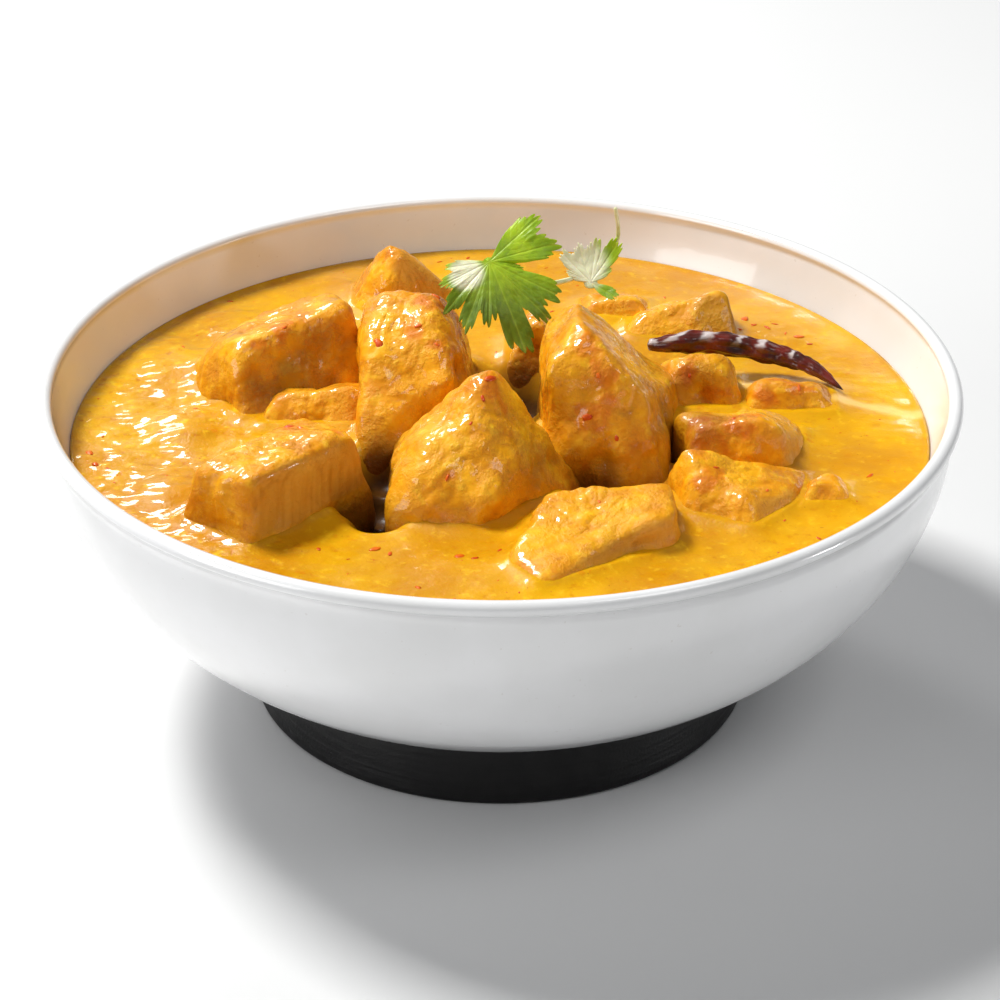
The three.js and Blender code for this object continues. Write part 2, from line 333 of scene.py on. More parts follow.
# A piece is (x, y, lift above the sauce), sharpness, depth of the underside, and its faces as
# (bearing, tilt, distance, bareness). A face's outward normal has that bearing from +X and
# that tilt up from level, and the face is that far from the middle. The pieces run from the
# front left across to the right, back along the right side, then down the left side from the
# big block, and end with the peak at the back and the one in the shade of the tall ones.
CHICKEN = [
    ((-46, -37, 2), 10, 13, [(-42, 5, 10.4, 1.0), (-127, 6, 17.9, 0.2), (145, 18, 11, 0),
                             (40, 8, 18.4, 0.5), (110, 82, 11.4, 0)]),
    ((-6, -26, 3), 10, 14, [(-100, 10, 22, 0), (-85, 45, 17.4, 0), (-138, 50, 16.8, 0),
                            (172, 46, 14.2, 0), (180, 2, 17.2, 0), (-50, 2, 18.4, 0),
                            (-22, 36, 15.2, 0.25), (40, 20, 16.8, 0), (100, 32, 15.4, 0)]),
    ((24, -5, 6), 22, 16, [(-100, 12, 16.5, 0), (-95, 47, 19.8, 0), (180, 3, 14.8, 0),
                           (172, 45, 20.4, 0), (-10, 12, 12, 0.2), (10, 48, 11.4, 0.35),
                           (80, 30, 20, 0)]),
    ((19, -50, 0), 12, 12, [(-145, 26, 20.4, 0), (-60, 20, 13.2, 0.9), (0, 12, 17.5, 0.3),
                            (95, 25, 8.9, 0), (161, 22, 12.2, 0), (-115, 79, 6.8, 0)]),
    ((48, -35, 0), 10, 12, [(-113, 36, 9.7, 0.2), (-39, 20, 12, 0.9), (0, 25, 15, 0.5),
                            (-170, 25, 11, 0), (95, 25, 8, 0), (-10, 74, 6.7, 0.1)]),
    ((67, -34, 0), 8, 6, [(-80, 25, 4.5, 0.5), (0, 30, 4.8, 0), (175, 20, 4.6, 0),
                          (90, 30, 3.5, 0), (70, 75, 4.2, 0)]),
    ((52, -15, 0), 10, 12, [(-95, 18, 8.9, 0.2), (-13, 12, 12.2, 1.0), (180, 20, 13, 0),
                            (90, 25, 10, 0), (110, 70, 8.8, 0), (30, 60, 10.2, 0)]),
    ((65, 8, 0), 7, 8, [(-90, 35, 5, 0), (0, 35, 8, 0), (180, 30, 9.5, 0), (90, 30, 7, 0),
                        (80, 75, 5.5, 0)]),
    ((44, 12.5, 0), 7, 10, [(-90, 16, 8, 0), (0, 22, 9.5, 0), (180, 26, 9, 0), (90, 38, 7, 0),
                            (-80, 75, 10.5, 0)]),
    ((43, 48, 0), 10, 10, [(-100, 46, 6.4, 0.3), (10, 10, 11.5, 0.6), (180, 40, 10.5, 0),
                           (90, 30, 7, 0), (130, 66, 6.5, 0)]),
    ((27, 57, 0), 8, 8, [(-90, 30, 5, 0.6), (0, 35, 7, 0), (180, 35, 7, 0.4), (90, 30, 5, 0),
                         (80, 78, 4, 0)]),
    ((-50, 22, 1), 10, 13, [(-62, 27, 15.6, 0.2), (-152, 12, 16.8, 0), (150, 38, 14.5, 0),
                            (25, 6, 18, 0), (100, 30, 17, 0), (150, 74, 13.5, 0)]),
    ((-41, 4, 0), 9, 10, [(-88, 38, 6.2, 0), (180, 38, 10, 0), (0, 10, 12, 0), (90, 20, 7, 0),
                          (100, 70, 5.8, 0)]),
    ((-21, 13, 4), 8, 14, [(-100, 50, 16.3, 0), (-95, 12, 28, 0), (-45, 3, 18, 0),
                           (180, 2, 10.4, 0), (0, 16, 14.4, 0), (90, 20, 14.5, 0),
                           (162, 80, 19.2, 0)]),
    ((-25, 62, 0), 11, 12, [(-132, 30, 9.4, 0), (-62, 22, 8.2, 0.7), (180, 28, 9.7, 0),
                            (8, 46, 11.6, 0.7), (90, 25, 9, 0), (-80, 70, 15.5, 0)]),
    ((8.5, 34, 0), 8, 10, [(-90, 15, 8, 0), (180, 25, 7, 0), (0, 25, 6, 0), (90, 20, 8, 0),
                           (100, 75, 10, 0)]),
]


# Knobs on a piece: (bearing, tilt, width in degrees, height). A negative height is a dent.
KNOBS = {
    1: [(20, 45, 14, 1.2), (-60, -30, 22, 1.0)],
    2: [(-75, 8, 12, 1.6), (-120, 20, 20, 1.2), (-55, 40, 14, -1.2)],
    3: [(-118, -8, 17, 2.4), (-80, -10, 15, 2.0), (-97, -12, 8, -1.8), (-48, -6, 14, 2.2),
        (-64, -8, 8, -1.8), (-100, 22, 16, 1.6), (-70, 32, 12, -1.4), (150, 30, 16, 1.0)],
    4: [(-20, 25, 16, 1.4), (-40, 10, 8, -1.0)],
    5: [(150, 40, 25, 1.4), (-60, 20, 14, -0.8)],
    6: [(60, 60, 30, 1.2), (-40, 20, 30, 0.8)],
    7: [(165, 25, 22, 2.4), (190, -5, 16, -1.6), (-8, 20, 14, 1.0), (-60, 10, 14, -0.8)],
    9: [(-80, 20, 26, -1.6), (150, 40, 20, 1.4)],
    12: [(-150, 0, 25, 1.6), (-118, 0, 12, -1.8), (-60, 20, 16, 1.0), (-80, -10, 14, -1.2)],
    14: [(-62, 20, 9, 2.2), (-40, 25, 9, -1.6), (-120, 40, 14, 1.0), (-85, 0, 12, -1.2)],
}


# Orange stains on a piece, where the browned meat shows: (bearing, tilt, half-width in degrees).
STAINS = {
    1: [(75, 42, 9), (30, 40, 5)],
    2: [(14, 78, 8), (-16, 64, 5), (-104, 20, 4)],
    3: [(-110, 18, 8), (-104, 46, 7), (-122, 62, 6), (-96, 30, 5)],
    5: [(-176, 64, 13), (-146, 40, 9)],
    7: [(-138, 72, 15), (-154, 36, 14), (-96, 60, 8)],
    8: [(-154, 76, 30), (-70, 64, 16), (-152, 32, 14)],
    9: [(-116, 56, 12), (-70, 30, 14)],
    12: [(-76, 58, 6), (-100, 46, 4)],
    14: [(16, 65, 10), (-6, 78, 7), (-66, 64, 7), (-56, 46, 5)],
}


# Painted shade on a piece, darker patches where its faces lie in shade: (bearing, tilt,
# half-width in degrees, strength).
SHADE_PATCHES = {
    2: [(-12, 18, 34, 0.3)],
    4: [(-70, 5, 34, 0.25)],
    7: [(-165, 40, 34, 0.5)],
    9: [(-100, 20, 44, 0.25)],
    3: [(-15, -12, 34, 0.55)],
    10: [(-20, 15, 44, 0.5)],
    12: [(-66, 8, 34, 0.7), (-35, 30, 20, 0.4)],
    14: [(-30, 10, 24, 0.4)],
}

# Gaps in the heap where the sauce lies deep, its colour darkened there as painted shade:
# x, y, half-width, depth.
GAPS = [(-25, -19, 6, 8), (-26, -26, 7, 12), (-26, -34, 7, 13), (-24.5, -41, 5.5, 9),
        (4, 16, 9, 11), (2, 5, 6, 6), (20, -26, 7, 6), (39, -11, 6, 7), (-14, -8, 6, 3),
        (31, -26, 6, 4), (36, -22, 5, 4)]


def gap_depth(x, y, spread=1.0):
    """How far the gaps lower the sauce, each one a flat-bottomed well with soft sides."""
    depth = np.zeros_like(x)
    for gap_x, gap_y, width, fall in GAPS:
        away = np.hypot(x - gap_x, y - gap_y) / (width * spread)
        depth = np.maximum(depth, fall * np.exp(-away ** 3))
    return depth


class Lumps:
    """Gradient noise on a lattice that repeats: a random slope at each lattice point, and
    between them the eight nearest slopes' heights, blended smoothly."""

    def __init__(self, seed, cells=32):
        rng = np.random.default_rng(seed)
        slope = rng.normal(size=(cells, cells, cells, 3))
        self.slope = slope / np.linalg.norm(slope, axis=-1, keepdims=True)
        self.cells = cells

    def __call__(self, points, size):
        at = points / size
        corner = np.floor(at).astype(int)
        part = at - corner
        ease = part ** 3 * (part * (part * 6 - 15) + 10)
        total = np.zeros(points.shape[:-1])
        for step in np.ndindex(2, 2, 2):
            step = np.array(step)
            i, j, k = np.moveaxis((corner + step) % self.cells, -1, 0)
            height = ((part - step) * self.slope[i, j, k]).sum(axis=-1)
            weight = np.where(step == 1, ease, 1 - ease).prod(axis=-1)
            total += height * weight
        return 1.6 * total

    def rough(self, points, size, octaves=3):
        """Noise at a size, plus finer and weaker noise at each half of it."""
        return sum(self(points, size / 2 ** i) / 2 ** i for i in range(octaves))


lumps = Lumps(seed=11)
surface = {}                        # each piece's rays, points and facing, for what sticks to it
BIG_REACH = 14                      # a piece with a face farther out than this has a finer grid
FULL_COAT_REACH = 11                # a smaller piece than this wears a thinner coat


def block_reach(rays, sharp, sink, faces):
    """How far the rounded block reaches along unit rays, and each face's share of the surface.

    Each face alone would stop the ray at distance over the cosine. The blend of the faces is
    the p-norm of the inverses, with p the sharpness.
    """
    faces = faces + [(0, -90, sink, 0)]
    bearing, tilt, distance, bare = (np.array(v, dtype=float) for v in zip(*faces))
    bearing, tilt = np.radians(bearing), np.radians(tilt)
    normals = np.stack([np.cos(tilt) * np.cos(bearing), np.cos(tilt) * np.sin(bearing),
                        np.sin(tilt)], axis=-1)
    share = np.maximum(0, rays @ normals.T / distance) ** sharp
    total = share.sum(axis=-1)
    return total ** (-1 / sharp), share / total[..., None], normals, bare


def sphere_rays(rows, columns):
    """Unit rays on a grid of rows from the bottom pole to the top one, packed above level."""
    rise = np.linspace(-1, 1, rows)
    rise = (0.62 * rise + 0.38 * np.sin(pi / 2 * rise)) * pi / 2
    turn = np.linspace(0, 2 * pi, columns, endpoint=False)
    level = np.cos(rise)[:, None]
    return np.stack([level * np.cos(turn), level * np.sin(turn),
                     np.broadcast_to(np.sin(rise)[:, None], (rows, columns))], axis=-1)


def chicken_piece(number, middle, sharp, sink, faces):
    """The block's reach along each ray, plus a height for the worked surface.

    The height is broad noise and knobs, plus the coat of sauce on covered faces, or upright
    ridges of grain on bare ones. The coat is absolute noise at three sizes, which makes round
    lumps that meet in creases, and its low places are the hollows, darkened as painted shade.
    """
    farthest = max(distance for _, _, distance, _ in faces)
    rows, columns = (150, 220) if farthest > BIG_REACH else (104, 150)
    rays = sphere_rays(rows, columns)
    reach, share, normals, bare = block_reach(rays, sharp, sink, faces)
    centre = np.array(middle, dtype=float) + (0, 0, sauce_level)
    points = centre + rays * reach[..., None]
    shifted = points + 37.0 * number
    bareness = np.clip(share @ bare + 0.35 * lumps(shifted, 5), 0, 1)
    bareness *= np.clip((points[..., 2] - sauce_level) / 3.0, 0, 1)
    face_normal = share @ normals
    across = np.cross(face_normal, (0.0, 0.25, 1.0))
    along = (points * across).sum(axis=-1) / np.linalg.norm(across, axis=-1)
    grain_place = np.stack([along, points[..., 2] * 0.12, share @ np.arange(len(bare)) * 9.0],
                           axis=-1)
    grain = lumps.rough(grain_place, 1.6, 2)
    swell = 1.2 * lumps(shifted, 15) + 0.8 * lumps(shifted + 5, 8.5)
    for bearing, tilt, width, rise in KNOBS.get(number, []):
        swell += rise * np.exp(-(degrees_off(rays, bearing, tilt) / width) ** 2)
    stain = np.zeros_like(swell)
    for bearing, tilt, width in STAINS.get(number, []):
        ragged = degrees_off(rays, bearing, tilt) / (1.5 * width) + lumps.rough(shifted, 4, 3)
        stain = np.maximum(stain, np.clip(1.2 - ragged, 0, 1))
    folds = np.stack([points[..., 0] * 0.7 + points[..., 1] * 0.7, points[..., 2] * 0.45,
                      points[..., 1] - points[..., 0]], axis=-1)
    coat = (0.2 * lumps.rough(shifted, 5, 2) + 0.75 * np.abs(lumps(shifted + 9, 8))
            + 0.45 * np.abs(lumps(folds, 4.2)) + 0.25 * np.abs(lumps(shifted, 2.4)) - 0.45)
    coat *= min(1, farthest / FULL_COAT_REACH)
    # Painted shade: the low places of the coat get a darker colour.
    hollow = np.clip((-0.02 - coat) / 0.3, 0, 1) * (1 - bareness)
    coat += 0.11 * lumps(shifted + 3, 1.5)
    bare_meat = 0.03 * grain + 0.25 * lumps(shifted, 6) - 0.25
    height = swell + (1 - bareness) * coat + bareness * bare_meat
    points = points + rays * height[..., None]
    surface[number] = rays, points, face_normal
    # Painted shade: the meat low down in the gaps, and the shaded patches, get a darker colour.
    low = np.clip((sauce_level + 7 - points[..., 2]) / 9, 0, 1)
    deep = np.clip(gap_depth(points[..., 0], points[..., 1], 1.35) / 6, 0, 1) * low
    for bearing, tilt, width, strength in SHADE_PATCHES.get(number, []):
        away = degrees_off(rays, bearing, tilt) / width + 0.5 * lumps(shifted, 6)
        deep = np.maximum(deep, strength * np.exp(-np.clip(away, 0, None) ** 4))
    piece = skin(f"chicken_piece_{number:02d}", points)
    keep_values(piece, points, bare=bareness, grain=0.5 + 0.5 * grain, stain=stain, deep=deep,
                hollow=hollow)
    return piece


def degrees_off(rays, bearing, tilt):
    """The angle between each ray and the direction with that bearing and tilt."""
    level = cos(radians(tilt))
    toward = (level * cos(radians(bearing)), level * sin(radians(bearing)), sin(radians(tilt)))
    return np.degrees(np.arccos(np.clip(rays @ toward, -1, 1)))


def keep_values(piece, points, **values):
    """Stores one number a point, matching the points that the skin kept."""
    used = pole_trim(points.shape[:2])
    for name, value in values.items():
        store(piece, name, value.ravel()[used])


def store(piece, name, numbers):
    """Keeps one number for each of a piece's points."""
    layer = piece.data.attributes.new(name, "FLOAT", "POINT")
    layer.data.foreach_set("value", numbers.astype(np.float32))


def pole_trim(shape):
    """The grid's point numbers that a skin with two poles keeps."""
    index = np.arange(shape[0] * shape[1]).reshape(shape)
    return np.concatenate([index[0, :1], index[1:-1].ravel(), index[-1, :1]])


def attribute(tree, name):
    """The wire of a number stored on the piece's points."""
    return Wire(tree, "ShaderNodeAttribute", {"attribute_name": name}, output=2)


meat, tree, shader, place = new_finish(
    "chicken_in_sauce", Coat_Roughness=0.1, Coat_IOR=1.4, Specular_IOR_Level=0.25,
    Subsurface_Weight=0.12, Subsurface_Radius=(1.0, 0.5, 0.08), Subsurface_Scale=0.003)
bare = attribute(tree, "bare")
grain = attribute(tree, "grain")
broad = noise(tree, place, 12, detail=3)
middle_tone = noise(tree, place, 3.6, detail=4, rough=0.6)
fine = noise(tree, place, 0.75, detail=3, rough=0.6)
colour = broad.band(0.34, 0.66).blend((222, 144, 2), (244, 174, 8))
colour = (0.7 * middle_tone.band(0.52, 0.74)).blend(colour, (252, 200, 40))
colour = (0.5 * middle_tone.band(0.46, 0.28)).blend(colour, (186, 104, 2))
meat_colour = grain.band(0.15, 0.85).blend((210, 144, 42), (224, 162, 60))
meat_colour = (0.3 * grain.band(0.3, 0.16)).blend(meat_colour, (170, 104, 24))
# Painted shade in the creases of the coat.
colour = (0.25 * attribute(tree, "hollow")).blend(colour, (188, 104, 2))
colour = (bare.band(0.3, 0.75) * 0.8).blend(colour, meat_colour)
speckle = noise(tree, place, 6.5, detail=5, rough=0.65).band(0.64, 0.72)
colour = (0.5 * speckle).blend(colour, (212, 112, 2))
colour = (0.6 * attribute(tree, "stain").band(0.0, 1.0)).blend(colour, (210, 100, 0))
# Painted shade in the gaps between pieces and on faces that lie in shade.
colour = (0.85 * attribute(tree, "deep")).blend(colour, (84, 40, 4))
wet = noise(tree, place, 4, detail=3).band(0.36, 0.58)
feed(tree, shader,
     Base_Color=colour,
     Roughness=0.48 + 0.15 * bare + 0.15 * (fine - 0.5),
     Coat_Weight=(1 - 0.6 * bare) * (0.1 + 0.9 * wet) * (1 - 0.6 * attribute(tree, "deep")),
     Normal=relief(tree, fine, 0.06 + 0.3 * wet, relief(tree, middle_tone, 0.16)))

for number, (middle, sharp, sink, faces) in enumerate(CHICKEN, start=1):
    piece = chicken_piece(number, middle, sharp, sink, faces)
    finish_piece(piece, meat, "chicken", f"chicken_{number:02d}")


# ---------------------------------------------------------------------------------------------
# The sauce: a thick yellow gravy, poured round the chicken up to a level below the lip. It
# climbs a little up each piece, is lumpy over sunken meat at the left, and smooth at the back.
# ---------------------------------------------------------------------------------------------

# What lies just under the sauce: x, y, half-width and rise.
SUNKEN = [(-69, -3, 8, 1.6), (-69, -31, 8, 1.6), (-77, 30, 9, 1.2), (-62, 50, 8, 0.9),
          (-2, -68, 11, 0.6)]
# The two ends of each pale streak of cream.
CREAM = [((76, 9), (92, 3)), ((55, 15), (67, 15))]
sauce_edge = inner_wall(sauce_level) - 0.05


def disc_grid(cells):
    """A square grid of cells pressed into a unit disc, evenly spaced and with a round edge."""
    line = np.linspace(-1, 1, cells)
    u, v = np.meshgrid(line, line, indexing="ij")
    return u * np.sqrt(1 - v ** 2 / 2), v * np.sqrt(1 - u ** 2 / 2)


def near_chicken(points):
    """How far points stand off the nearest piece of chicken, in millimetres."""
    nearest = np.full(points.shape[:-1], 99.0)
    for middle, sharp, sink, faces in CHICKEN:
        offset = points - (np.array(middle, dtype=float) + (0, 0, sauce_level))
        length = np.linalg.norm(offset, axis=-1)
        rays = offset / np.maximum(length, 1e-6)[..., None]
        reach = block_reach(rays, sharp, sink, faces)[0]
        nearest = np.minimum(nearest, length - reach)
    return nearest


def sauce_height(x, y):
    """The sauce's rise over its level: broad swells, sunken lumps, ripples that are strong at
    the left, wells in the gaps, and a climb of under 2 mm where it clings to meat and bowl.
    Returned with how lumpy it is and how deep in a gap, each from 0 to 1."""
    flat = np.stack([x, y, np.zeros_like(x)], axis=-1)
    gap = near_chicken(flat + (0, 0, sauce_level))
    cling = 1.5 * np.exp(-np.clip(gap, 0, None) / 2.4)
    left = np.clip((-x - 35) / 30, 0, 1) * np.clip((70 - y) / 60, 0, 1)
    front = np.clip((-y - 38) / 20, 0, 1)
    lumpy = np.clip(0.1 + left + 0.25 * front, 0, 1)
    swell = 0.35 * lumps(flat, 22) + 0.2 * lumps(flat, 11)
    drawn = flat * (0.55, 1.0, 1.0)
    ripple = 0.3 * lumps.rough(drawn, 5, 3) - 0.3 * np.abs(lumps(drawn + 50, 7))
    ripple += 0.14 * lumps(drawn + 20, 2.4)
    ripple *= 0.15 + lumpy
    rise = swell + ripple + cling
    for lump_x, lump_y, width, height in SUNKEN:
        rise += height * np.exp(-(np.hypot(x - lump_x, y - lump_y) / width) ** 4)
    depth = gap_depth(x, y)
    rise = rise * np.exp(-depth / 3) - depth
    inside = sauce_edge - np.hypot(x, y)
    rise *= np.clip(inside / 2.0, 0, 1)
    return rise + 0.5 * np.exp(-inside / 0.8), lumpy, np.clip(depth / 7, 0, 1)


def off_line(x, y, start, end):
    """How far points lie from a straight line between two places."""
    run = np.subtract(end, start)
    along = np.clip(((x - start[0]) * run[0] + (y - start[1]) * run[1]) / (run @ run), 0, 1)
    return np.hypot(x - start[0] - along * run[0], y - start[1] - along * run[1])


def sauce_piece(cells=276, ring_count=8):
    """The top is a disc grid; below its edge, rings follow the bowl's wall down to a pole."""
    x, y = (sauce_edge * part for part in disc_grid(cells))
    rise, lumpy, deep = sauce_height(x, y)
    top = np.stack([x, y, sauce_level + rise], axis=-1).reshape(-1, 3)
    index = np.arange(cells * cells).reshape(cells, cells)
    a, b, c, d = index[:-1, :-1], index[1:, :-1], index[1:, 1:], index[:-1, 1:]
    triangles = [np.stack(t, axis=-1).reshape(-1, 3) for t in ((a, b, c), (a, c, d))]
    edge = np.concatenate([index[:-1, 0], index[-1, :-1], index[:0:-1, -1], index[0, :0:-1]])
    rim = top[edge]
    angle = np.arctan2(rim[:, 1], rim[:, 0])
    rings = []
    for drop in np.linspace(0.25, 1.35, ring_count):
        radius = inner_radius * cos(drop) - 0.4
        height = wall_height - inner_depth * sin(drop) + 0.4
        rings.append(np.stack([radius * np.cos(angle), radius * np.sin(angle),
                               np.full_like(angle, height)], axis=-1))
    pole = np.array([[0, 0, wall_height - inner_depth + 0.5]])
    points = np.concatenate([top, *rings, pole])
    ring_index = [edge]
    for i in range(ring_count):
        ring_index.append(len(top) + i * len(edge) + np.arange(len(edge)))
    for upper, lower in zip(ring_index, ring_index[1:]):
        triangles.append(np.stack([upper, lower, np.roll(lower, -1)], axis=-1))
        triangles.append(np.stack([upper, np.roll(lower, -1), np.roll(upper, -1)], axis=-1))
    last = ring_index[-1]
    pole_index = np.full_like(last, len(points) - 1)
    triangles.append(np.stack([last, pole_index, np.roll(last, -1)], axis=-1))
    piece = mesh_piece("curry_sauce", points, np.concatenate(triangles))
    spare = np.zeros(len(points) - len(top))
    streak = np.min([off_line(x, y, *ends) for ends in CREAM], axis=0)
    cream = np.exp(-(streak / (2.3 + 1.2 * lumps(top, 5).reshape(x.shape))) ** 2)
    for name, value in (("lumpy", lumpy), ("deep", deep), ("cream", cream)):
        store(piece, name, np.concatenate([value.ravel(), spare]))
    return piece


sauce = sauce_piece()
gravy, tree, shader, place = new_finish(
    "yellow_gravy", Coat_Roughness=0.05, Coat_IOR=1.4, Specular_IOR_Level=0.18,
    Subsurface_Weight=0.15, Subsurface_Radius=(1.0, 0.5, 0.08), Subsurface_Scale=0.004)
lumpy = attribute(tree, "lumpy")
cloud = noise(tree, place, 24, detail=4, rough=0.55)
curd = noise(tree, place, 2.6, detail=4, rough=0.62)
grit = noise(tree, place, 0.8, detail=2)
colour = cloud.band(0.3, 0.7).blend((202, 136, 0), (226, 168, 0))
colour = (curd.band(0.54, 0.74) * (0.3 + 0.4 * lumpy)).blend(colour, (252, 208, 36))
colour = (curd.band(0.44, 0.28) * (0.3 + 0.5 * lumpy)).blend(colour, (196, 116, 0))
oil = noise(tree, place, 9, detail=5, rough=0.7).band(0.62, 0.70)
wet = noise(tree, place, 7).band(0.35, 0.6)
colour = (0.45 * oil).blend(colour, (216, 116, 2))
colour = (0.5 * grit.band(0.72, 0.78)).blend(colour, (150, 76, 4))
colour = (0.75 * attribute(tree, "cream").band(0.05, 0.9)).blend(colour, (250, 208, 124))
# Painted shade where the sauce lies deep in the gaps between pieces.
colour = (0.95 * attribute(tree, "deep")).blend(colour, (58, 28, 6))
feed(tree, shader,
     Base_Color=colour,
     Roughness=0.34 + 0.25 * (curd - 0.3),
     Coat_Weight=(0.2 + 0.6 * wet + 0.3 * lumpy) * (1 - attribute(tree, "deep")),
     Normal=relief(tree, grit, 0.03 + 0.05 * lumpy, relief(tree, curd, 0.08 + 0.2 * lumpy)))
finish_piece(sauce, gravy, "sauce", "curry")


# ---------------------------------------------------------------------------------------------
# The dried chilli: one whole pod laid over the meat at the right, its skin shrunk into long
# wrinkles and polished dark, the stalk end blunt and the tip drawn out.
# ---------------------------------------------------------------------------------------------

chilli_route = np.array([(33, 17.5, 10), (47, 22.5, 8.4), (61, 22.5, 5.8), (70, 18, 4.3),
                         (76.6, 11.5, 1.8)], dtype=float) + (0, 0, sauce_level)
# Painted highlights, pale bands over the top of the pod between its creases: how far along,
# slant, half-width.
HIGHLIGHT_BANDS = [(0.015, 0, 0.014), (0.12, 0.06, 0.026), (0.25, 0.03, 0.026), (0.37, 0.02, 0.012),
          (0.46, 0.015, 0.018), (0.62, 0, 0.012)]


def smooth_route(knots, steps):
    """Points along a Catmull-Rom curve through the knots, with its unit tangents."""
    ends = np.concatenate([[2 * knots[0] - knots[1]], knots, [2 * knots[-1] - knots[-2]]])
    at = np.linspace(0, len(knots) - 1, steps)
    span = np.minimum(at.astype(int), len(knots) - 2)
    t = (at - span)[:, None]
    a, b, c, d = (ends[span + i] for i in range(4))
    line = 0.5 * (2 * b + (c - a) * t + (2 * a - 5 * b + 4 * c - d) * t ** 2
                  + (3 * b - a - 3 * c + d) * t ** 3)
    run = np.gradient(line, axis=0)
    return line, run / np.linalg.norm(run, axis=-1, keepdims=True)


def carry(route, tangent, radius, turns):
    """Rings of the radius given, a grid of route steps by turns, square to the route."""
    side = np.cross(tangent, (0, 0, 1.0))
    side /= np.linalg.norm(side, axis=-1, keepdims=True)
    over = np.cross(side, tangent)
    angle = np.linspace(0, 2 * pi, turns, endpoint=False)
    ring = (np.cos(angle)[:, None] * side[:, None] + np.sin(angle)[:, None] * over[:, None])
    return route[:, None] + ring * radius[..., None]


def chilli_points(steps=260, turns=72):
    """A round pod whose radius shrinks in long ridges and sideways creases. Each painted
    highlight is a pale slanting band over the top of the pod, by how far along and how far round
    it is."""
    route, tangent = smooth_route(chilli_route, steps)
    t = np.linspace(0, 1, steps)[:, None]
    angle = np.linspace(0, 2 * pi, turns, endpoint=False)[None]
    body = 2.75 * np.minimum(1, (3.2 * t + 0.45)) * (1 - t ** 2.4) ** 0.8
    body = body * np.sqrt(np.clip(t / 0.012, 0, 1))
    place = np.stack([6 * np.cos(angle) + 0 * t, 6 * np.sin(angle) + 0 * t, 44 * t + 0 * angle],
                     axis=-1)
    ridges = lumps(place * (1, 1, 0.16), 2.6)
    creases = lumps(place * (0.5, 0.5, 1), 2.2)
    radius = body * (1 + 0.16 * ridges + 0.17 * creases)
    papery = np.zeros_like(radius)
    for start, slant, width in HIGHLIGHT_BANDS:
        off = (t - start - slant * (angle - pi / 2) + 0.012 * lumps(place, 1.6)) / width
        papery = np.maximum(papery, np.exp(-off ** 4) * np.exp(-((angle - 1.4) / 0.75) ** 4))
    return carry(route, tangent, np.maximum(radius, 0.01), turns), papery


points, papery = chilli_points()
chilli = skin("dried_chilli_pod", points)
keep_values(chilli, points, papery=papery)
pod, tree, shader, place = new_finish(
    "dried_chilli_skin", Coat_Weight=0.5, Coat_Roughness=0.12, Specular_IOR_Level=0.4)
blotch = noise(tree, place, 5, detail=4)
# The pale bands on the top of the pod are painted highlights.
feed(tree, shader,
     Base_Color=(0.85 * attribute(tree, "papery")).blend(
         blotch.band(0.35, 0.68).blend((52, 9, 0), (112, 24, 2)), (226, 216, 214)),
     Roughness=0.3 + 0.2 * blotch,
     Normal=relief(tree, noise(tree, place, 1.2, detail=3), 0.2))
finish_piece(chilli, pod, "chilli", "dried_chilli")


# ---------------------------------------------------------------------------------------------
# Coriander: two fresh leaves on a pale stem, picked and laid on top. Each leaf is a thin blade
# of toothed lobes with veins that fan out from where the stalk joins it.
# ---------------------------------------------------------------------------------------------

TEETH = 34                          # half the teeth, and half the bays, in a whole turn
BAYS = 13
blade_thickness = 0.35


def leaf_reach(bearing, lobes, web):
    """The leaf's edge in a direction: the longest lobe there, each half an ellipse across its
    half-width, or the web that joins them, cut by bays and by fine rounded teeth."""
    reach = np.full_like(bearing, 1.6)
    for direction, length, half_width in [web, *lobes]:
        away = (bearing - direction + 180) % 360 - 180
        part = np.clip(1 - (away / half_width) ** 2, 0, 1)
        reach = np.maximum(reach, length * part ** 0.4)
    turn = np.radians(bearing)
    tooth = np.abs(np.sin(TEETH * turn + 1.4 * np.sin(7 * turn)))
    bay = np.abs(np.sin(BAYS * turn + 0.8 * np.sin(3 * turn)))
    return reach * (1 - 0.10 * (1 - tooth) ** 1.2 - 0.10 * (1 - bay) ** 1.5)


